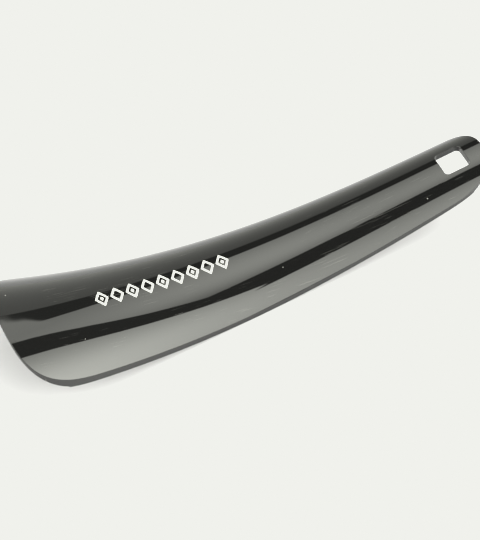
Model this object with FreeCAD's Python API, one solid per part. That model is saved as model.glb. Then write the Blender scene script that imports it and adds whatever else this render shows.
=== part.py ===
import FreeCAD, Part
import math
import os

# A short one-piece plastic shoehorn. All sizes are in millimetres.
#
# Frame: X runs along the shoehorn, from the blade's tip (-X) to the handle's end (+X). Y runs
# across it. Z is up. The shoehorn lies as it does on a table, hollow side down, standing on its two
# long side edges. The origin is on the table, under the middle of its length. In the functions
# below, x is the distance from the blade's tip and y the distance from the middle plane.

# Overall
LENGTH = 180.0

# Stations along the length where the widths, angles and rims are given, as shares of the length
BLADE_STATION = 0.12
MIDDLE_STATION = 0.50
HANDLE_STATION = 0.88

# Half-widths of the outline before its ends are rounded
BLADE_HALF_WIDTH = 23.0
MIDDLE_HALF_WIDTH = 17.5
HANDLE_HALF_WIDTH = 13.05

# Half-angle of the outer face's cross arc, in radians, and how far its flanks bulge out of the arc
BLADE_HALF_ANGLE = 0.74
MIDDLE_HALF_ANGLE = 1.0
HANDLE_HALF_ANGLE = 0.93
FLANK_BULGE = 0.155

# The rounded ends: how far each reaches along X, and how square it is (2 is an ellipse)
BLADE_END_REACH = 30.5
BLADE_END_SQUARENESS = 3.8
HANDLE_END_REACH = 19.0
HANDLE_END_SQUARENESS = 2.8

# The lengthwise bow: the outer face's side edges are lowest at one station and rise to both ends
LOWEST_STATION = 0.48
BLADE_LIFT = 15.7
HANDLE_LIFT = 13.1
HANDLE_EASING = 3.1

# Wall, measured along Z: at the crown, and at the side edges, where it is the visible rim
BLADE_CROWN = 2.0
HANDLE_CROWN = 2.6
BLADE_RIM = 3.4
MIDDLE_RIM = 2.4
HANDLE_RIM = 2.6

# The wall thins to the blade's tip, and the rim thins to both ends
TIP_WALL = 1.1
TIP_THINNING_REACH = 16.0
HANDLE_END_RIM = 0.2
HANDLE_THINNING_REACH = 40.0

# Width of the flat land that the side edges stand on
EDGE_LAND = 0.7

# Hanging hole, a rounded square through the handle's end
HOLE_STATION = 0.934
HOLE_ALONG = 9.6
HOLE_ACROSS = 9.0
HOLE_CORNER_RADIUS = 1.4

# The ink print: a row of lozenges along the crown of the blade
MARK_STATION = 0.32
MARK_COUNT = 9
MARK_PITCH = 5.5
MARK_WIDTH = 4.7
MARK_HEIGHT = 6.4
MARK_STROKE = 0.65
MARK_CORE = 0.26
INK_THICKNESS = 0.05

# Rounded edges of the moulding
HOLE_FILLET = 0.25
RIM_FILLET = 0.2

# How the wall is lofted, and how its outline is drawn
SECTION_COUNT = 25
SECTION_POINTS = 13
OUTER_OVERHANG = 0.02
INNER_OVERHANG = 0.012
END_MARGIN = 2.0
FOOT_DEPTH = 3.0
OUTLINE_POINTS_PER_END = 21
OUTLINE_POINTS_PER_SIDE = 8
OUTLINE_PIECES = 16
CUTTER_HEIGHT = 80.0

# How edges are told apart: the gap to a face that still counts as on it, how far past the middle of
# the hole its own edges can reach, as a share of its size, and the slope from which an edge is upright
NEAR = 0.02
HOLE_EDGE_SHARE = 0.51
UPRIGHT_SLOPE = 0.95


def quadratic(x, blade, middle, handle):
    """The value at x of the parabola through three values at the three stations."""
    t = x / LENGTH
    a, b, c = BLADE_STATION, MIDDLE_STATION, HANDLE_STATION
    return (
        blade * (t - b) * (t - c) / ((a - b) * (a - c))
        + middle * (t - a) * (t - c) / ((b - a) * (b - c))
        + handle * (t - a) * (t - b) / ((c - a) * (c - b))
    )


def half_width(x):
    return quadratic(x, BLADE_HALF_WIDTH, MIDDLE_HALF_WIDTH, HANDLE_HALF_WIDTH)


def half_angle(x):
    return quadratic(x, BLADE_HALF_ANGLE, MIDDLE_HALF_ANGLE, HANDLE_HALF_ANGLE)


def bow(x):
    """How far the outer face's side edges have risen at x over their lowest station.

    It is a polynomial in the distance from that station. The fourth power eases the handle's end
    down, and the square and cube give the lifts of the two ends.
    """
    lowest = LOWEST_STATION * LENGTH
    tip = -lowest
    end = LENGTH - lowest
    fourth = -HANDLE_EASING / end ** 4
    blade = BLADE_LIFT - fourth * tip ** 4
    handle = HANDLE_LIFT - fourth * end ** 4
    determinant = tip ** 2 * end ** 3 - tip ** 3 * end ** 2
    square = (blade * end ** 3 - handle * tip ** 3) / determinant
    cube = (handle * tip ** 2 - blade * end ** 2) / determinant
    s = x - lowest
    return square * s ** 2 + cube * s ** 3 + fourth * s ** 4


def thinned(wall, end_wall, distance, reach):
    """The wall at a distance from an end, where it thins smoothly to end_wall over a reach."""
    t = min(max(distance / reach, 0.0), 1.0)
    return end_wall + (wall - end_wall) * t * (2.0 - t)


def rim_height(x):
    rim = quadratic(x, BLADE_RIM, MIDDLE_RIM, HANDLE_RIM)
    rim = thinned(rim, TIP_WALL, x, TIP_THINNING_REACH)
    return thinned(rim, HANDLE_END_RIM, LENGTH - x, HANDLE_THINNING_REACH)


def table_level():
    """The lowest point of the land under the side edges, in the heights that bow gives."""
    return min(bow(x) - rim_height(x) for x in range(int(LENGTH)))


def top_edge(x):
    """Height over the table of the outer face's side edges, at the top of the rim."""
    return bow(x) - TABLE_LEVEL


def land_height(x):
    """Height over the table of the land that the side edges stand on, at the bottom of the rim."""
    return top_edge(x) - rim_height(x)


def crown_wall(x):
    wall = BLADE_CROWN + (HANDLE_CROWN - BLADE_CROWN) * x / LENGTH
    return thinned(wall, TIP_WALL, x, TIP_THINNING_REACH)


def crown_height(x):
    return top_edge(x) + half_width(x) * math.tan(half_angle(x) / 2.0)


def arch(y, width, edge, crown):
    """Height at y of an arch that is edge high where y is width, and crown high on the middle plane."""
    rise = crown - edge
    radius = (width ** 2 + rise ** 2) / (2.0 * rise)
    k = y / width
    bulge = FLANK_BULGE * width * (k ** 2 - k ** 4)
    return crown - radius + math.sqrt(radius ** 2 - y ** 2) + bulge


def outer_height(x, y):
    return arch(y, half_width(x), top_edge(x), crown_height(x))


def inner_height(x, y):
    return arch(y, half_width(x) - EDGE_LAND, land_height(x), crown_height(x) - crown_wall(x))


def at(x, y, z):
    """A point of the row's frame."""
    return FreeCAD.Vector(x - LENGTH / 2.0, y, z)


def smooth_curve(points):
    curve = Part.BSplineCurve()
    curve.interpolate(points)
    return curve.toShape()


def closed_curve(points):
    """One smooth closed curve through points, in pieces short enough to be measured exactly."""
    curve = Part.BSplineCurve()
    curve.interpolate(points, PeriodicFlag=True)
    edge = curve.toShape()
    first, last = edge.ParameterRange
    step = (last - first) / OUTLINE_PIECES
    return edge.split([first + step * i for i in range(1, OUTLINE_PIECES)])


def face_curve(x, reach, height):
    """A cross curve of the outer or the inner face, from one side to the other."""
    steps = [-1.0 + 2.0 * i / (SECTION_POINTS - 1) for i in range(SECTION_POINTS)]
    across = [reach * math.sin(step * math.pi / 2.0) for step in steps]
    return smooth_curve([at(x, y, height(x, y)) for y in across])


def section(x):
    """The closed cross-section at x, wider than the outline and with a foot below each side edge."""
    outer_reach = half_width(x) * (1.0 + OUTER_OVERHANG)
    inner_reach = (half_width(x) - EDGE_LAND) * (1.0 + INNER_OVERHANG)
    foot = land_height(x) - FOOT_DEPTH
    outer_end = outer_height(x, outer_reach)
    inner_end = inner_height(x, inner_reach)
    edges = [face_curve(x, outer_reach, outer_height)]
    edges.append(Part.makeLine(at(x, outer_reach, outer_end), at(x, outer_reach, foot)))
    edges.append(Part.makeLine(at(x, outer_reach, foot), at(x, inner_reach, foot)))
    edges.append(Part.makeLine(at(x, inner_reach, foot), at(x, inner_reach, inner_end)))
    edges.append(face_curve(x, inner_reach, inner_height))
    edges.append(Part.makeLine(at(x, -inner_reach, inner_end), at(x, -inner_reach, foot)))
    edges.append(Part.makeLine(at(x, -inner_reach, foot), at(x, -outer_reach, foot)))
    edges.append(Part.makeLine(at(x, -outer_reach, foot), at(x, -outer_reach, outer_end)))
    return Part.Wire(Part.__sortEdges__(edges))


def wall():
    """The curved wall with its feet, lofted along the length and a little past both ends."""
    first = -END_MARGIN
    step = (LENGTH + 2.0 * END_MARGIN) / (SECTION_COUNT - 1)
    stations = [first + step * i for i in range(SECTION_COUNT)]
    return Part.makeLoft([section(x) for x in stations], True, False)


def rounded_end(reach, squareness, steps):
    """Points of a rounded end as (distance short of the end, share of the half-width)."""
    points = []
    for angle in steps:
        c, s = math.cos(angle), math.sin(angle)
        size = (abs(c) ** squareness + abs(s) ** squareness) ** (-1.0 / squareness)
        points.append((reach * (1.0 - size * c), size * s))
    return points


def outline():
    """The closed outline of the shoehorn seen from above."""
    count = OUTLINE_POINTS_PER_END
    half_turn = [math.pi * (i / (count - 1) - 0.5) for i in range(count)]
    handle = [
        (LENGTH - short, share)
        for short, share in rounded_end(HANDLE_END_REACH, HANDLE_END_SQUARENESS, half_turn)
    ]
    blade = [
        (short, -share)
        for short, share in rounded_end(BLADE_END_REACH, BLADE_END_SQUARENESS, half_turn)
    ]
    straight = LENGTH - BLADE_END_REACH - HANDLE_END_REACH
    sides = [(i + 1) / (OUTLINE_POINTS_PER_SIDE + 1) for i in range(OUTLINE_POINTS_PER_SIDE)]
    back = [(LENGTH - HANDLE_END_REACH - straight * share, 1.0) for share in sides]
    front = [(BLADE_END_REACH + straight * share, -1.0) for share in sides]
    return closed_curve([at(x, k * half_width(x), 0.0) for x, k in handle + back + blade + front])


def body_cutter():
    """Everything inside the outline and above the land of the side edges."""
    span = half_width(0.0) * 2.0
    first = -END_MARGIN
    step = (LENGTH + 2.0 * END_MARGIN) / (SECTION_COUNT - 1)
    stations = [first + step * i for i in range(SECTION_COUNT)]
    bottom = smooth_curve([at(x, -span, land_height(x)) for x in stations])
    top = CUTTER_HEIGHT
    sides = [
        Part.makeLine(at(stations[0], -span, top), at(stations[0], -span, land_height(stations[0]))),
        Part.makeLine(at(stations[-1], -span, land_height(stations[-1])), at(stations[-1], -span, top)),
        Part.makeLine(at(stations[-1], -span, top), at(stations[0], -span, top)),
    ]
    profile = Part.Face(Part.Wire(Part.__sortEdges__([bottom] + sides)))
    above_land = profile.extrude(FreeCAD.Vector(0.0, 2.0 * span, 0.0))
    plan = Part.Face(outline()).extrude(FreeCAD.Vector(0.0, 0.0, CUTTER_HEIGHT))
    return plan.common(above_land)


def is_upright(edge):
    middle = (edge.FirstParameter + edge.LastParameter) / 2.0
    return abs(edge.tangentAt(middle).z) > UPRIGHT_SLOPE


def hole_cutter():
    box = Part.makeBox(
        HOLE_ALONG,
        HOLE_ACROSS,
        CUTTER_HEIGHT,
        at(HOLE_STATION * LENGTH - HOLE_ALONG / 2.0, -HOLE_ACROSS / 2.0, 0.0),
    )
    return box.makeFillet(HOLE_CORNER_RADIUS, [edge for edge in box.Edges if is_upright(edge)])


def in_hole(edge):
    middle = HOLE_STATION * LENGTH - LENGTH / 2.0
    box = edge.BoundBox
    along = max(abs(box.XMin - middle), abs(box.XMax - middle)) < HOLE_EDGE_SHARE * HOLE_ALONG
    across = max(abs(box.YMin), abs(box.YMax)) < HOLE_EDGE_SHARE * HOLE_ACROSS
    return along and across


def on_outer_face(edge):
    middle = edge.valueAt((edge.FirstParameter + edge.LastParameter) / 2.0)
    return abs(middle.z - outer_height(middle.x + LENGTH / 2.0, middle.y)) < NEAR


def moulded_body():
    body = wall().common(body_cutter()).cut(hole_cutter()).Solids[0]
    body = body.makeFillet(HOLE_FILLET, [e for e in body.Edges if in_hole(e) and not is_upright(e)])
    rim = [e for e in body.Edges if on_outer_face(e) and not in_hole(e) and not is_upright(e)]
    return body.makeFillet(RIM_FILLET, rim)


def lozenge(x, y, half_length, half_height):
    """An upright prism over a lozenge that points along X and Y."""
    corners = [
        at(x - half_length, y, 0.0),
        at(x, y - half_height, 0.0),
        at(x + half_length, y, 0.0),
        at(x, y + half_height, 0.0),
    ]
    plan = Part.Face(Part.makePolygon(corners + corners[:1]))
    return plan.extrude(FreeCAD.Vector(0.0, 0.0, CUTTER_HEIGHT))


def printed_mark():
    """A row of open lozenges with a small solid one in every second, each a thin skin of ink."""
    stencils = []
    for i in range(MARK_COUNT):
        x = MARK_STATION * LENGTH + (i - (MARK_COUNT - 1) / 2.0) * MARK_PITCH
        open_half = MARK_WIDTH / 2.0
        high_half = MARK_HEIGHT / 2.0
        scale = 1.0 - MARK_STROKE * math.hypot(open_half, high_half) / (open_half * high_half)
        inner = lozenge(x, 0.0, open_half * scale, high_half * scale)
        stencils.append(lozenge(x, 0.0, open_half, high_half).cut(inner))
        if i % 2 == 0:
            stencils.append(lozenge(x, 0.0, open_half * MARK_CORE, high_half * MARK_CORE))
    outer = max(wall().Faces, key=lambda face: face.Area)
    patches = outer.common(Part.makeCompound(stencils)).Faces
    skin = FreeCAD.Vector(0.0, 0.0, INK_THICKNESS)
    return Part.makeCompound([patch.extrude(skin) for patch in patches])


TABLE_LEVEL = table_level()

os.makedirs("parts", exist_ok=True)
moulded_body().exportStep("parts/moulded_body.step")
printed_mark().exportStep("parts/printed_mark.step")
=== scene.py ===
import math

import bpy
import numpy as np
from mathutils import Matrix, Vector
from mathutils.geometry import delaunay_2d_cdt


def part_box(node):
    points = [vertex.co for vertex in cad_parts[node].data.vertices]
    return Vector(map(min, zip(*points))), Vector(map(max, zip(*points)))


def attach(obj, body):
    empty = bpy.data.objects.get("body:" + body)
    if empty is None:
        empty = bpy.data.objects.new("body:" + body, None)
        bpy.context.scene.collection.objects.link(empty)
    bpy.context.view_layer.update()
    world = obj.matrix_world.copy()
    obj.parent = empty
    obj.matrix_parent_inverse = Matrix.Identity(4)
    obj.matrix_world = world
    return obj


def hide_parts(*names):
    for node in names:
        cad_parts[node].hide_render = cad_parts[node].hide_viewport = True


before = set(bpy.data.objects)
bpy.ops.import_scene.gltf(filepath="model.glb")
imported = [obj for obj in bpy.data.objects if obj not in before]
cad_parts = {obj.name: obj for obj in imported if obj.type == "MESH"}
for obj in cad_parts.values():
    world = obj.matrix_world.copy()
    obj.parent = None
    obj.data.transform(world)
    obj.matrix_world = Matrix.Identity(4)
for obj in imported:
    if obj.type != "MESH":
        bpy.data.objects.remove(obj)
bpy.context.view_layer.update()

# The short plastic shoehorn: a glossy black moulding with a small white print on its blade. The CAD
# nodes' meshes are coarse for a polished surface and for fine ink, so the body and the print are meshed
# again here from the same dimensions, and they replace the nodes. In the functions below x is the
# distance from the blade's tip and y the distance from the middle plane, both in metres.

MM = 0.001
BODY_LOW, BODY_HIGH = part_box("moulded_body")
LENGTH = BODY_HIGH.x - BODY_LOW.x
TIP_X = BODY_LOW.x

# Driving dimensions of the moulding, as in the CAD part
STATIONS = (0.12, 0.50, 0.88)
HALF_WIDTHS = (23.0 * MM, 17.5 * MM, 13.05 * MM)
HALF_ANGLES = (0.74, 1.0, 0.93)
RIMS = (3.4 * MM, 2.4 * MM, 2.6 * MM)
FLANK_BULGE = 0.155
BLADE_END = (30.5 * MM, 3.8)
HANDLE_END = (19.0 * MM, 2.8)
LOWEST_STATION = 0.48
BLADE_LIFT = 15.7 * MM
HANDLE_LIFT = 13.1 * MM
HANDLE_EASING = 3.1 * MM
BLADE_CROWN = 2.0 * MM
HANDLE_CROWN = 2.6 * MM
TIP_WALL = 1.1 * MM
TIP_THINNING_REACH = 16.0 * MM
HANDLE_END_RIM = 0.2 * MM
HANDLE_THINNING_REACH = 40.0 * MM
EDGE_LAND = 0.7 * MM
HOLE_STATION = 0.934
HOLE_ALONG = 9.6 * MM
HOLE_ACROSS = 9.0 * MM
HOLE_CORNER = 1.4 * MM
HOLE_FILLET = 0.25 * MM
RIM_FILLET = 0.2 * MM

# The ink print, as in the CAD part
MARK_STATION = 0.32
MARK_COUNT = 9
MARK_PITCH = 5.5 * MM
MARK_WIDTH = 4.7 * MM
MARK_HEIGHT = 6.4 * MM
MARK_STROKE = 0.65 * MM
MARK_CORE = 0.26
INK_THICKNESS = 0.05 * MM

# How finely the body is meshed. LAND_EDGE_ROUND is how far to each side of the edge between the hollow
# face and the land the mesh follows a line
GRID = 1.0 * MM
OUTLINE_STEP = 0.6 * MM
HOLE_STEP = 0.25 * MM
LAND_EDGE_ROUND = 0.05 * MM
FILLET_STEPS = 5
WALL_STEPS = 3

# How many points the outlines are worked out with, before they are sampled again at even steps
END_POINTS = 241
SIDE_POINTS = 200
CORNER_POINTS = 13

# The rows of the grid inside a face, and how far its points keep from the lines that the mesh follows.
# Points nearer to each other than SAME_POINT count as one
ROW_GAP = GRID * 0.866
GRID_HALF_SPAN = HALF_WIDTHS[0] * 1.1
OUTLINE_GAP = OUTLINE_STEP * 0.8
HOLE_GAP = HOLE_STEP * 1.5
CREASE_GAP = GRID * 0.5
LAND_EDGE_GAP = OUTLINE_STEP * 0.3
SAME_POINT = 1e-9

# The small difference that slopes are measured over, and how many parts long lists are worked in
SLOPE_STEP = 0.02 * MM
CHUNKS = 40

# How the print is meshed, and how far its normals lean outwards at the foot and at the top of its edge
LOZENGE_POINTS = 48
LOZENGE_SQUARENESS = 1.06
INK_STEPS = 3
FOOT_LEAN = 1.0
TOP_LEAN = 0.3


def quadratic(x, values):
    """The value at x of the parabola through three values at the three stations."""
    t = x / LENGTH
    a, b, c = STATIONS
    return (
        values[0] * (t - b) * (t - c) / ((a - b) * (a - c))
        + values[1] * (t - a) * (t - c) / ((b - a) * (b - c))
        + values[2] * (t - a) * (t - b) / ((c - a) * (c - b))
    )


def half_width(x):
    return quadratic(x, HALF_WIDTHS)


def bow(x):
    """How far the outer face's side edges have risen at x over their lowest station."""
    tip = -LOWEST_STATION * LENGTH
    end = LENGTH + tip
    fourth = -HANDLE_EASING / end ** 4
    blade = BLADE_LIFT - fourth * tip ** 4
    handle = HANDLE_LIFT - fourth * end ** 4
    determinant = tip ** 2 * end ** 3 - tip ** 3 * end ** 2
    square = (blade * end ** 3 - handle * tip ** 3) / determinant
    cube = (handle * tip ** 2 - blade * end ** 2) / determinant
    s = x + tip
    return square * s ** 2 + cube * s ** 3 + fourth * s ** 4


def thinned(wall, end_wall, distance, reach):
    """The wall at a distance from an end, where it thins smoothly to end_wall over a reach."""
    t = np.clip(distance / reach, 0.0, 1.0)
    return end_wall + (wall - end_wall) * t * (2.0 - t)


def rim_height(x):
    rim = thinned(quadratic(x, RIMS), TIP_WALL, x, TIP_THINNING_REACH)
    return thinned(rim, HANDLE_END_RIM, LENGTH - x, HANDLE_THINNING_REACH)


def crown_wall(x):
    wall = BLADE_CROWN + (HANDLE_CROWN - BLADE_CROWN) * x / LENGTH
    return thinned(wall, TIP_WALL, x, TIP_THINNING_REACH)


LOW_STATIONS = np.arange(0.0, LENGTH, MM)
TABLE_LEVEL = np.min(bow(LOW_STATIONS) - rim_height(LOW_STATIONS))


def top_edge(x):
    return bow(x) - TABLE_LEVEL


def land_height(x):
    return top_edge(x) - rim_height(x)


def crown_height(x):
    return top_edge(x) + half_width(x) * np.tan(quadratic(x, HALF_ANGLES) / 2.0)


def arch(y, width, edge, crown):
    """Height at y of an arch that is edge high where y is width, and crown high on the middle plane."""
    rise = crown - edge
    radius = (width ** 2 + rise ** 2) / (2.0 * rise)
    k = y / width
    bulge = FLANK_BULGE * width * (k ** 2 - k ** 4)
    return crown - radius + np.sqrt(np.maximum(radius ** 2 - y ** 2, 0.0)) + bulge


def outer_height(x, y):
    return arch(y, half_width(x), top_edge(x), crown_height(x))


def lower_height(x, y):
    """The underside: the inner face of the arch, and the land under the side edges."""
    width = half_width(x) - EDGE_LAND
    hollow = np.clip(y, -width, width)
    inner = arch(hollow, width, land_height(x), crown_height(x) - crown_wall(x))
    return np.where(np.abs(y) < width, inner, land_height(x))


def rounded_end(reach, squareness, angle):
    """A point of a rounded end: (distance short of the end, share of the half-width)."""
    c, s = math.cos(angle), math.sin(angle)
    size = (abs(c) ** squareness + abs(s) ** squareness) ** (-1.0 / squareness)
    return reach * (1.0 - size * c), size * s


def even_loop(points, step):
    """The closed loop through points, sampled again at even steps."""
    closed = np.vstack([points, points[:1]])
    lengths = np.hypot(*np.diff(closed, axis=0).T)
    travelled = np.concatenate([[0.0], np.cumsum(lengths)])
    count = int(round(travelled[-1] / step))
    at = np.arange(count) * travelled[-1] / count
    return np.stack([np.interp(at, travelled, closed[:, i]) for i in range(2)], axis=1)


def outline():
    """The outline seen from above, counter-clockwise."""
    turns = np.linspace(-0.5, 0.5, END_POINTS) * math.pi
    handle = [rounded_end(*HANDLE_END, t) for t in turns]
    blade = [rounded_end(*BLADE_END, t) for t in turns]
    sides = np.linspace(BLADE_END[0], LENGTH - HANDLE_END[0], SIDE_POINTS)[1:-1]
    points = [(LENGTH - short, share * half_width(LENGTH - short)) for short, share in handle]
    points += [(x, half_width(x)) for x in sides[::-1]]
    points += [(short, -share * half_width(short)) for short, share in blade]
    points += [(x, -half_width(x)) for x in sides]
    return even_loop(np.array(points), OUTLINE_STEP)


def hole_outline():
    """The hanging hole's outline, counter-clockwise."""
    points = []
    for quarter in range(4):
        sx = (1, -1, -1, 1)[quarter]
        sy = (1, 1, -1, -1)[quarter]
        cx = HOLE_STATION * LENGTH + sx * (HOLE_ALONG / 2.0 - HOLE_CORNER)
        cy = sy * (HOLE_ACROSS / 2.0 - HOLE_CORNER)
        for t in np.linspace(0.0, 0.5 * math.pi, CORNER_POINTS) + quarter * 0.5 * math.pi:
            points.append((cx + HOLE_CORNER * math.cos(t), cy + HOLE_CORNER * math.sin(t)))
    return even_loop(np.array(points), HOLE_STEP)


def outward(loop):
    """Unit normals in the plane, away from the inside of a counter-clockwise loop."""
    along = np.roll(loop, -1, axis=0) - np.roll(loop, 1, axis=0)
    return unit(np.stack([along[:, 1], -along[:, 0]], axis=1))


def unit(vectors):
    return vectors / np.linalg.norm(vectors, axis=1)[:, None]


def slopes(height, points):
    """The gradient of a height function at points, by small differences."""
    d = SLOPE_STEP
    x, y = points.T
    gx = (height(x + d, y) - height(x - d, y)) / (2.0 * d)
    gy = (height(x, y + d) - height(x, y - d)) / (2.0 * d)
    return np.stack([gx, gy], axis=1)


def edge_rings(loop, away, height, radius, side):
    """Rings of the rounded edge between a face and an upright wall, from the face to the wall.

    away is the plane's unit vector from the material to the open side of the wall. side is 1 where
    the face is on top and -1 where it is below. Each ring is (points, heights, normals).
    """
    gradient = slopes(height, loop)
    tilt = np.arctan(-side * np.sum(gradient * away, axis=1))
    along = np.stack([-away[:, 1], away[:, 0]], axis=1)
    climb = np.sum(gradient * along, axis=1)
    level = height(*loop.T) + side * radius * (np.tan(tilt) - 1.0 / np.cos(tilt))
    rings = []
    for step in range(FILLET_STEPS, -1, -1):
        turn = (0.5 * math.pi - tilt) * step / FILLET_STEPS
        points = loop - away * (radius * (1.0 - np.cos(turn)))[:, None]
        heights = level + side * radius * np.sin(turn)
        flat = away * np.cos(turn)[:, None] - along * (side * climb * np.sin(turn))[:, None]
        normals = unit(np.column_stack([flat, side * np.sin(turn)]))
        rings.append((points, heights, normals))
    on_face = rings[0][0]
    rings[0] = (on_face, height(*on_face.T), face_normals(height, on_face, side))
    return rings


def inside(points, loop):
    """Which points lie inside a closed loop."""
    result = np.zeros(len(points), bool)
    x, y = points.T
    for (x0, y0), (x1, y1) in zip(loop, np.roll(loop, -1, axis=0)):
        crosses = (y0 > y) != (y1 > y)
        if np.any(crosses):
            result ^= crosses & (x < x0 + (x1 - x0) * (y - y0) / (y1 - y0))
    return result


def clear_of(points, loops, gap):
    """Which points are further than gap from every point of the loops."""
    keep = np.ones(len(points), bool)
    for loop in loops:
        for chunk in np.array_split(np.arange(len(points)), CHUNKS):
            apart = points[chunk, None, :] - loop[None, :, :]
            distances = np.hypot(apart[..., 0], apart[..., 1])
            keep[chunk] &= distances.min(axis=1) > gap
    return keep


class Surface:
    """Points, normals and faces gathered for one mesh."""

    def __init__(self):
        self.points = []
        self.normals = []
        self.faces = []

    def add(self, points, heights, normals):
        first = len(self.points)
        self.points += [(px + TIP_X, py, pz) for (px, py), pz in zip(points, heights)]
        self.normals += [tuple(n) for n in normals]
        return list(range(first, len(self.points)))

    def strip(self, upper, lower, flip=False):
        """Quads between two rings of the same number of points."""
        for i in range(len(upper)):
            j = (i + 1) % len(upper)
            quad = (upper[i], lower[i], lower[j], upper[j])
            self.faces.append(quad[::-1] if flip else quad)

    def to_object(self, name):
        mesh = bpy.data.meshes.new(name)
        mesh.from_pydata(self.points, [], self.faces)
        mesh.validate()
        mesh.update()
        for polygon in mesh.polygons:
            polygon.use_smooth = True
        mesh.normals_split_custom_set_from_vertices(self.normals)
        piece = bpy.data.objects.new(name, mesh)
        bpy.context.scene.collection.objects.link(piece)
        return piece


def face_normals(height, points, side):
    gradient = slopes(height, points)
    return unit(np.column_stack([-gradient, np.ones(len(points))]) * side)


def land_edges(outer_ring):
    """Lines just to each side of both edges between the hollow face and the land."""
    x = np.arange(0.0, LENGTH, OUTLINE_STEP)
    lines = []
    for side in (-1.0, 1.0):
        for step in (-LAND_EDGE_ROUND, LAND_EDGE_ROUND):
            line = np.column_stack([x, side * (half_width(x) - EDGE_LAND + step)])
            line = line[inside(line, outer_ring)]
            lines.append(line[clear_of(line, [outer_ring], LAND_EDGE_GAP)])
    return lines


def face_grid(outer_ring, hole_ring, creases):
    """Staggered rows of points over a face, clear of the lines that its mesh follows."""
    xs = np.arange(0.0, LENGTH, GRID)
    rows = []
    for i, y in enumerate(np.arange(-GRID_HALF_SPAN, GRID_HALF_SPAN, ROW_GAP)):
        rows.append(np.column_stack([xs + (i % 2) * GRID / 2.0, np.full(len(xs), y)]))
    grid = np.vstack(rows)
    grid = grid[inside(grid, outer_ring)]
    grid = grid[~inside(grid, hole_ring)]
    grid = grid[clear_of(grid, [outer_ring], OUTLINE_GAP)]
    grid = grid[clear_of(grid, [hole_ring], HOLE_GAP)]
    return grid[clear_of(grid, creases, CREASE_GAP)]


def line_edges(lines, closed_count):
    """Pairs of following points, numbered through all the lines, of which the first few are closed."""
    edges = []
    start = 0
    for number, line in enumerate(lines):
        end = start + len(line) - 1
        edges += [(i, i + 1) for i in range(start, end)]
        if number < closed_count:
            edges.append((end, start))
        start = end + 1
    return edges


def fill_face(surface, height, side, outer_edge, hole_edge, creases):
    """Triangles over one face of the wall, between its rounded outer edge and that of the hole.

    An edge is (points, their numbers in the surface). The mesh follows each crease.
    """
    outer_ring, outer_ids = outer_edge
    hole_ring, hole_ids = hole_edge
    grid = face_grid(outer_ring, hole_ring, creases)
    lines = [outer_ring, hole_ring] + creases
    points = [Vector(p) for p in np.vstack(lines + [grid])]
    edges = line_edges(lines, 2)
    verts, _, triangles, origin, _, _ = delaunay_2d_cdt(points, edges, [], 0, SAME_POINT)
    centres = np.array([np.mean([verts[i] for i in t], axis=0) for t in triangles])
    wanted = inside(centres, outer_ring) & ~inside(centres, hole_ring)
    known = outer_ids + hole_ids
    is_new = [bool(source) and source[0] >= len(known) for source in origin]
    new = np.array([vert for vert, needed in zip(verts, is_new) if needed])
    new_ids = iter(surface.add(new, height(*new.T), face_normals(height, new, side)))
    ids = {}
    for i, source in enumerate(origin):
        if is_new[i]:
            ids[i] = next(new_ids)
        elif source:
            ids[i] = known[source[0]]
    for t, keep in zip(triangles, wanted):
        if keep and all(i in ids for i in t):
            face = [ids[i] for i in t]
            surface.faces.append(face if side > 0 else face[::-1])


def wall_rings(surface, loop, away, radius, flip):
    """The rounded top edge, the upright wall and the rounded bottom edge along a loop."""
    top = edge_rings(loop, away, outer_height, radius, 1.0)
    bottom = edge_rings(loop, away, lower_height, radius, -1.0)[::-1]
    upper, lower = top[-1], bottom[0]
    middle = []
    for step in range(1, WALL_STEPS):
        share = step / WALL_STEPS
        heights = upper[1] * (1.0 - share) + lower[1] * share
        middle.append((loop, heights, upper[2]))
    rings = [surface.add(*ring) for ring in top + middle + bottom]
    for first, second in zip(rings, rings[1:]):
        surface.strip(first, second, flip)
    return (top[0][0], rings[0]), (bottom[-1][0], rings[-1])


def make_body():
    surface = Surface()
    rim = outline()
    hole = hole_outline()
    top_rim, bottom_rim = wall_rings(surface, rim, outward(rim), RIM_FILLET, False)
    top_hole, bottom_hole = wall_rings(surface, hole, -outward(hole), HOLE_FILLET, True)
    fill_face(surface, outer_height, 1.0, top_rim, top_hole, [])
    fill_face(surface, lower_height, -1.0, bottom_rim, bottom_hole, land_edges(bottom_rim[0]))
    return surface.to_object("shoehorn_body")


def lozenge_loop(x, half_length, half_across):
    """A lozenge with slightly rounded corners around (x, 0), counter-clockwise."""
    points = []
    for turn in np.arange(LOZENGE_POINTS) * 2.0 * math.pi / LOZENGE_POINTS:
        c, s = math.cos(turn), math.sin(turn)
        total = abs(c) ** LOZENGE_SQUARENESS + abs(s) ** LOZENGE_SQUARENESS
        size = total ** (-1.0 / LOZENGE_SQUARENESS)
        points.append((x + half_length * size * c, half_across * size * s))
    return np.array(points)


def ink_ring(surface, loop, lift, lean=0.0):
    """A ring of ink points, lifted off the plastic, with normals that lean away from the loop."""
    sideways = np.column_stack([outward(loop), np.zeros(len(loop))])
    normals = unit(face_normals(outer_height, loop, 1.0) + sideways * lean)
    return surface.add(loop, outer_height(*loop.T) + lift, normals)


def open_lozenge(surface, x, half_length, half_across, inner_scale):
    """A closed band of ink between a lozenge and a smaller one."""
    outer = lozenge_loop(x, half_length, half_across)
    inner = lozenge_loop(x, half_length * inner_scale, half_across * inner_scale)
    rings = [ink_ring(surface, inner, 0.0, -FOOT_LEAN)]
    rings.append(ink_ring(surface, inner, INK_THICKNESS, -TOP_LEAN))
    for step in range(1, INK_STEPS):
        share = step / INK_STEPS
        rings.append(ink_ring(surface, inner * (1.0 - share) + outer * share, INK_THICKNESS))
    rings.append(ink_ring(surface, outer, INK_THICKNESS, TOP_LEAN))
    rings.append(ink_ring(surface, outer, 0.0, FOOT_LEAN))
    for first, second in zip(rings, rings[1:] + rings[:1]):
        surface.strip(first, second)


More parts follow.
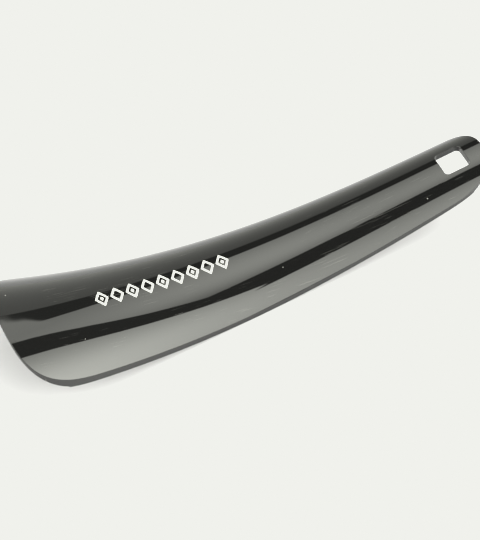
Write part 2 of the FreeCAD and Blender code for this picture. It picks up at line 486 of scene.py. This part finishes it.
def solid_lozenge(surface, x, half_length, half_across):
    """A closed patch of ink over a whole lozenge."""
    outer = lozenge_loop(x, half_length, half_across)
    bottom = ink_ring(surface, outer, 0.0, FOOT_LEAN)
    top = ink_ring(surface, outer, INK_THICKNESS, TOP_LEAN)
    surface.strip(top, bottom)
    centre = np.array([[x, 0.0]])
    level = outer_height(*centre.T)
    normal = face_normals(outer_height, centre, 1.0)
    up = surface.add(centre, level + INK_THICKNESS, normal)[0]
    down = surface.add(centre, level, -normal)[0]
    for i in range(LOZENGE_POINTS):
        j = (i + 1) % LOZENGE_POINTS
        surface.faces.append((up, top[i], top[j]))
        surface.faces.append((down, bottom[j], bottom[i]))


def make_mark():
    """A row of open lozenges, with a small solid one in every second."""
    surface = Surface()
    half_length = MARK_WIDTH / 2.0
    half_across = MARK_HEIGHT / 2.0
    side_length = math.hypot(half_length, half_across)
    inner_scale = 1.0 - MARK_STROKE * side_length / (half_length * half_across)
    for i in range(MARK_COUNT):
        x = MARK_STATION * LENGTH + (i - (MARK_COUNT - 1) / 2.0) * MARK_PITCH
        open_lozenge(surface, x, half_length, half_across, inner_scale)
        if i % 2 == 0:
            solid_lozenge(surface, x, half_length * MARK_CORE, half_across * MARK_CORE)
    return surface.to_object("shoehorn_print")


# The plastic's colour and gloss. A pattern below is given as how quickly it changes, per metre, and as
# the range of its values, from 0 to 1, over which it sets in
PLASTIC_BLACK = (0.005, 0.005, 0.005)
PLASTIC_IOR = 1.5
POLISHED_ROUGHNESS = 0.02

# Hairlines along the shoehorn, which show in patches only. Each set is (turn, along, across): how
# quickly it changes along and across the shoehorn, and a turn in degrees that makes it unlike the others
HAIRLINES = ((8.0, 60.0, 5200.0), (52.0, 90.0, 6000.0), (-35.0, 110.0, 6500.0), (100.0, 80.0, 5600.0))
HAIRLINE_RANGE = (0.75, 0.82)
HAIRLINE_PATCHES = 55.0
HAIRLINE_PATCH_RANGE = (0.56, 0.66)
HAIRLINE_DEPTH = 0.002 * MM
HAIRLINE_GREY = 0.12
WORN_ROUGHNESS = 0.12

# Dust: specks in some of the cells of a pattern. The ranges are of the distance from a cell's centre, in
# cells, and of a cell's own value, which picks the cells that have a speck
DUST_GREY = (0.30, 0.30, 0.28)
DUST_CELLS = 230.0
SPECK_RANGE = (0.03, 0.05)
SPECK_PICK_RANGE = (0.62, 0.65)

# Smears, drawn out along the shoehorn
SMEAR_TURN = 20.0
SMEARS = (45.0, 170.0, 45.0)
SMEAR_RANGE = (0.58, 0.78)
SMEAR_ROUGHNESS = 0.015

# The slight waves of the moulded skin
WAVES = 75.0
WAVE_HEIGHT = 0.010 * MM

# The ink: two tones in a mottle, which is rougher where it is lighter, and a pebbled surface
INK_TONES = ((0.52, 0.52, 0.50), (0.66, 0.66, 0.64))
INK_MOTTLE = 900.0
INK_MOTTLE_DETAIL = 3.0
INK_MOTTLE_RANGE = (0.3, 0.7)
INK_ROUGHNESS = (0.42, 0.58)
INK_PEBBLES = 4000.0
INK_PEBBLE_HEIGHT = 0.004 * MM

# The floor reaches this many lengths of the shoehorn to each side. Its two tones are slightly violet,
# so that it comes out neutral under the light, which has little blue
FLOOR_REACH = 12
FLOOR_TONES = ((0.52, 0.515, 0.54), (0.58, 0.575, 0.60))
FLOOR_MOTTLE = 14.0
FLOOR_MOTTLE_DETAIL = 4.0
FLOOR_GRAIN = 1500.0
FLOOR_GRAIN_HEIGHT = 0.01 * MM
FLOOR_ROUGHNESS = 0.8

# The camera looks down at the shoehorn's near side. RIGHT, FAR and UP are its directions, kept level
CAMERA_AZIMUTH = math.radians(-26.4)
CAMERA_ELEVATION = math.radians(52.1)
CAMERA_DISTANCE = 4.081 * LENGTH
CAMERA_SHIFT = -0.018
SENSOR_WIDTH = 36.0
FOCAL_LENGTH = 144.0
TARGET_HEIGHT = 7.1 * MM
RIGHT = Vector((math.cos(CAMERA_AZIMUTH), math.sin(CAMERA_AZIMUTH), 0.0))
FAR = Vector((-math.sin(CAMERA_AZIMUTH), math.cos(CAMERA_AZIMUTH), 0.0))
UP = Vector((0.0, 0.0, 1.0))


class Nodes:
    """Short calls for building a node tree."""

    def __init__(self, tree):
        self.tree = tree

    def put(self, socket, value):
        if isinstance(value, bpy.types.NodeSocket):
            self.tree.links.new(value, socket)
        else:
            socket.default_value = value

    def add(self, kind, **settings):
        node = self.tree.nodes.new(kind)
        for name, value in settings.items():
            setattr(node, name, value)
        return node

    def math(self, operation, *values):
        node = self.add("ShaderNodeMath", operation=operation)
        for socket, value in zip(node.inputs, values):
            self.put(socket, value)
        return node.outputs[0]

    def dot(self, vector, constant):
        node = self.add("ShaderNodeVectorMath", operation="DOT_PRODUCT")
        self.put(node.inputs[0], vector)
        self.put(node.inputs[1], constant)
        return node.outputs["Value"]

    def ramp(self, value, low, high, start=0.0, end=1.0):
        """A smooth change from start to end as value goes from low to high."""
        node = self.add("ShaderNodeMapRange", interpolation_type="SMOOTHSTEP")
        self.put(node.inputs["Value"], value)
        self.put(node.inputs["From Min"], low)
        self.put(node.inputs["From Max"], high)
        self.put(node.inputs["To Min"], start)
        self.put(node.inputs["To Max"], end)
        return node.outputs["Result"]


def object_coordinates(nodes, turn=0.0, stretch=(1.0, 1.0, 1.0)):
    """Coordinates fixed to the object, scaled and then turned about Z."""
    mapping = nodes.add("ShaderNodeMapping")
    nodes.put(mapping.inputs["Vector"], nodes.add("ShaderNodeTexCoord").outputs["Object"])
    mapping.inputs["Rotation"].default_value = (0.0, 0.0, math.radians(turn))
    mapping.inputs["Scale"].default_value = stretch
    return mapping.outputs["Vector"]


def noise(nodes, vector, scale, detail=2.0):
    node = nodes.add("ShaderNodeTexNoise")
    nodes.put(node.inputs["Vector"], vector)
    node.inputs["Scale"].default_value = scale
    node.inputs["Detail"].default_value = detail
    return node.outputs["Fac"]


def scratches(nodes):
    """Fine straight hairlines along the shoehorn, only in patches."""
    total = 0.0
    for turn, along, across in HAIRLINES:
        streak = noise(nodes, object_coordinates(nodes, turn, (along, across, along)), 1.0, 0.0)
        patch = noise(nodes, object_coordinates(nodes, turn * 2.0), HAIRLINE_PATCHES, 1.0)
        line = nodes.ramp(streak, *HAIRLINE_RANGE)
        shown = nodes.ramp(patch, *HAIRLINE_PATCH_RANGE)
        total = nodes.math("MAXIMUM", nodes.math("MULTIPLY", line, shown), total)
    return total


def dust(nodes):
    """Sparse specks: 1 in a small spot in some of the cells of a pattern, and 0 elsewhere."""
    cells = nodes.add("ShaderNodeTexVoronoi")
    nodes.put(cells.inputs["Vector"], object_coordinates(nodes))
    cells.inputs["Scale"].default_value = DUST_CELLS
    spot = nodes.ramp(cells.outputs["Distance"], *SPECK_RANGE, 1.0, 0.0)
    pick = nodes.add("ShaderNodeSeparateColor")
    nodes.put(pick.inputs["Color"], cells.outputs["Color"])
    return nodes.math("MULTIPLY", spot, nodes.ramp(pick.outputs["Red"], *SPECK_PICK_RANGE))


def bump(nodes, height, distance, base=None):
    """A normal from heights of 0 to 1, where 1 stands for a distance in metres."""
    node = nodes.add("ShaderNodeBump")
    nodes.put(node.inputs["Height"], height)
    node.inputs["Distance"].default_value = distance
    if base is not None:
        nodes.put(node.inputs["Normal"], base)
    return node.outputs["Normal"]


def mix_colours(nodes, share, first, second):
    """A mix of two colours, which are inputs 6 and 7 of the node and come out at 2."""
    node = nodes.add("ShaderNodeMix", data_type="RGBA")
    nodes.put(node.inputs["Factor"], share)
    node.inputs[6].default_value = (*first, 1.0)
    node.inputs[7].default_value = (*second, 1.0)
    return node.outputs[2]


def new_material(name):
    material = bpy.data.materials.new(name)
    material.use_nodes = True
    return material, Nodes(material.node_tree), material.node_tree.nodes["Principled BSDF"]


def black_plastic():
    """Polished black plastic: a slightly wavy moulded skin with hairlines, smears and dust."""
    material, nodes, shader = new_material("black_plastic")
    hairline = scratches(nodes)
    speck = dust(nodes)
    smear = noise(nodes, object_coordinates(nodes, SMEAR_TURN, SMEARS), 1.0)
    smear = nodes.ramp(smear, *SMEAR_RANGE)
    worn = nodes.math("MAXIMUM", nodes.math("MULTIPLY", hairline, HAIRLINE_GREY), speck)
    nodes.put(shader.inputs["Base Color"], mix_colours(nodes, worn, PLASTIC_BLACK, DUST_GREY))
    rough = nodes.math("MULTIPLY_ADD", smear, SMEAR_ROUGHNESS, POLISHED_ROUGHNESS)
    rough = nodes.math("MULTIPLY_ADD", nodes.math("MAXIMUM", hairline, speck), WORN_ROUGHNESS, rough)
    nodes.put(shader.inputs["Roughness"], rough)
    wavy = bump(nodes, noise(nodes, object_coordinates(nodes), WAVES, 1.0), WAVE_HEIGHT)
    uncut = nodes.math("SUBTRACT", 1.0, hairline)
    nodes.put(shader.inputs["Normal"], bump(nodes, uncut, HAIRLINE_DEPTH, wavy))
    shader.inputs["IOR"].default_value = PLASTIC_IOR
    return material


def white_ink():
    """Semi-matt pad-printed ink: uneven in tone, with a fine pebbled surface."""
    material, nodes, shader = new_material("white_ink")
    mottle = noise(nodes, object_coordinates(nodes), INK_MOTTLE, INK_MOTTLE_DETAIL)
    pebbles = noise(nodes, object_coordinates(nodes), INK_PEBBLES)
    nodes.put(shader.inputs["Base Color"], mix_colours(nodes, mottle, *INK_TONES))
    nodes.put(shader.inputs["Roughness"], nodes.ramp(mottle, *INK_MOTTLE_RANGE, *INK_ROUGHNESS))
    nodes.put(shader.inputs["Normal"], bump(nodes, pebbles, INK_PEBBLE_HEIGHT))
    return material


def pale_floor():
    """Matt paper with a faint mottle and grain."""
    material, nodes, shader = new_material("pale_floor")
    mottle = noise(nodes, object_coordinates(nodes), FLOOR_MOTTLE, FLOOR_MOTTLE_DETAIL)
    grain = noise(nodes, object_coordinates(nodes), FLOOR_GRAIN)
    nodes.put(shader.inputs["Base Color"], mix_colours(nodes, mottle, *FLOOR_TONES))
    nodes.put(shader.inputs["Normal"], bump(nodes, grain, FLOOR_GRAIN_HEIGHT))
    shader.inputs["Roughness"].default_value = FLOOR_ROUGHNESS
    shader.inputs["Specular IOR Level"].default_value = 0.0
    return material


def add_floor():
    size = LENGTH * FLOOR_REACH
    mesh = bpy.data.meshes.new("floor")
    corners = [(-size, -size, 0), (size, -size, 0), (size, size, 0), (-size, size, 0)]
    mesh.from_pydata(corners, [], [(0, 1, 2, 3)])
    floor = bpy.data.objects.new("floor", mesh)
    bpy.context.scene.collection.objects.link(floor)
    floor.data.materials.append(pale_floor())


def aim(obj, location, target):
    obj.location = location
    obj.rotation_euler = (target - location).to_track_quat("-Z", "Y").to_euler()


def add_camera():
    data = bpy.data.cameras.new("camera")
    data.sensor_width = SENSOR_WIDTH
    data.lens = FOCAL_LENGTH
    camera = bpy.data.objects.new("camera", data)
    bpy.context.scene.collection.objects.link(camera)
    back = UP * math.sin(CAMERA_ELEVATION) - FAR * math.cos(CAMERA_ELEVATION)
    target = Vector((0, 0, TARGET_HEIGHT))
    aim(camera, target + back * CAMERA_DISTANCE, target)
    data.shift_x = CAMERA_SHIFT
    data.shift_y = CAMERA_SHIFT
    bpy.context.scene.camera = camera


def bearing(degrees, elevation):
    """The direction at a bearing from the far side round to the right, and an elevation, in degrees."""
    turn, lift = math.radians(degrees), math.radians(elevation)
    level = FAR * math.cos(turn) + RIGHT * math.sin(turn)
    return level * math.cos(lift) + UP * math.sin(lift)


# The studio is painted on the sky, as panels with straight edges. An edge is (right, far, up), and the
# panel is in the directions whose right, far and up parts, times these, add up to more than 0. OVERHEAD
# is above the far side, and the flap at its right end reaches lower. SIDE and FRONT are low on the right,
# FILL is low on the left, and BACKDROP is low on the far side
OVERHEAD = ((-1.0, -0.055, 0.52), (0.0, 1.0, -0.005), (0.42, -1.0, 0.862), (1.0, 0.0, 0.6))
OVERHEAD_FLAP = ((1.0, 0.17, -0.5445), (0.0, -1.0, 1.31), (-1.0, -0.055, 0.52))
SIDE = ((1.0, 0.1, -0.728), (1.19, -1.0, 0.0), (0.7, 1.0, 0.0))
FRONT = ((0.0, -1.0, -0.65), (1.0, 0.7, 0.0))
FILL = ((-1.0, 0.0, -0.5), (-0.6, -1.0, 0.6))
BACKDROP = ((-0.3, 1.0, -1.22),)
EDGE_SOFTNESS = 0.002

# Brightness of the panels. A glow is (bearing, elevation, power, brightness far from it, what its centre
# adds). The backdrop has HORIZON_BRIGHTNESS at the horizon and changes with height
OVERHEAD_GLOW = (19.5, 67.5, 8.0, 0.4, 4.7)
SIDE_GLOW = (94.7, 10.5, 3.8, 2.55, 10.2)
FLAP_BRIGHTNESS = 2.9
FILL_BRIGHTNESS = 4.0
HORIZON_BRIGHTNESS = 1.74
CHANGE_WITH_HEIGHT = -1.44
DARK_ROOM = 0.05
LIGHT_COLOUR = (0.985, 1.0, 0.915, 1.0)

# The red, green and blue that nothing comes out brighter than
PAPER_WHITE = (0.871, 0.880, 0.838)


def light_panel(nodes, direction, edges):
    """1 in the directions that are inside all the edges, and 0 elsewhere."""
    mask = 1.0
    for right, far, up in edges:
        normal = (RIGHT * right + FAR * far + UP * up).normalized()
        side = nodes.ramp(nodes.dot(direction, normal), -EDGE_SOFTNESS, EDGE_SOFTNESS)
        mask = nodes.math("MULTIPLY", mask, side)
    return mask


def glow(nodes, direction, turn, elevation, power, edge, gain):
    """Brightness that falls from edge + gain at the centre to edge far from it."""
    near = nodes.math("MAXIMUM", nodes.dot(direction, bearing(turn, elevation)), 0.0)
    return nodes.math("MULTIPLY_ADD", nodes.math("POWER", near, power), gain, edge)


def add_world():
    world = bpy.data.worlds.new("studio")
    bpy.context.scene.world = world
    world.use_nodes = True
    nodes = Nodes(world.node_tree)
    direction = nodes.add("ShaderNodeTexCoord").outputs["Generated"]
    side = light_panel(nodes, direction, SIDE)
    side = nodes.math("MAXIMUM", side, light_panel(nodes, direction, FRONT))
    height = nodes.dot(direction, UP)
    fade = nodes.math("MULTIPLY_ADD", height, CHANGE_WITH_HEIGHT, HORIZON_BRIGHTNESS)
    panels = (
        (light_panel(nodes, direction, OVERHEAD), glow(nodes, direction, *OVERHEAD_GLOW)),
        (light_panel(nodes, direction, OVERHEAD_FLAP), FLAP_BRIGHTNESS),
        (side, glow(nodes, direction, *SIDE_GLOW)),
        (light_panel(nodes, direction, FILL), FILL_BRIGHTNESS),
        (light_panel(nodes, direction, BACKDROP), fade),
    )
    total = DARK_ROOM
    for mask, brightness in panels:
        total = nodes.math("MAXIMUM", total, nodes.math("MULTIPLY", mask, brightness))
    background = world.node_tree.nodes["Background"]
    background.inputs["Color"].default_value = LIGHT_COLOUR
    nodes.put(background.inputs["Strength"], total)


def limit_highlights():
    """Nothing comes out brighter than the paper white, so that a well lit floor is an even tone."""
    view = bpy.context.scene.view_settings
    view.view_transform = "Standard"
    view.use_curve_mapping = True
    view.curve_mapping.extend = "HORIZONTAL"
    for curve, limit in zip(view.curve_mapping.curves, PAPER_WHITE):
        curve.points[-1].location = (limit, limit)
    view.curve_mapping.update()


body = make_body()
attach(body, "root")
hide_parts("moulded_body")
body.data.materials.append(black_plastic())

mark = make_mark()
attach(mark, "root")
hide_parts("printed_mark")
mark.data.materials.append(white_ink())

add_floor()
add_camera()
add_world()
limit_highlights()
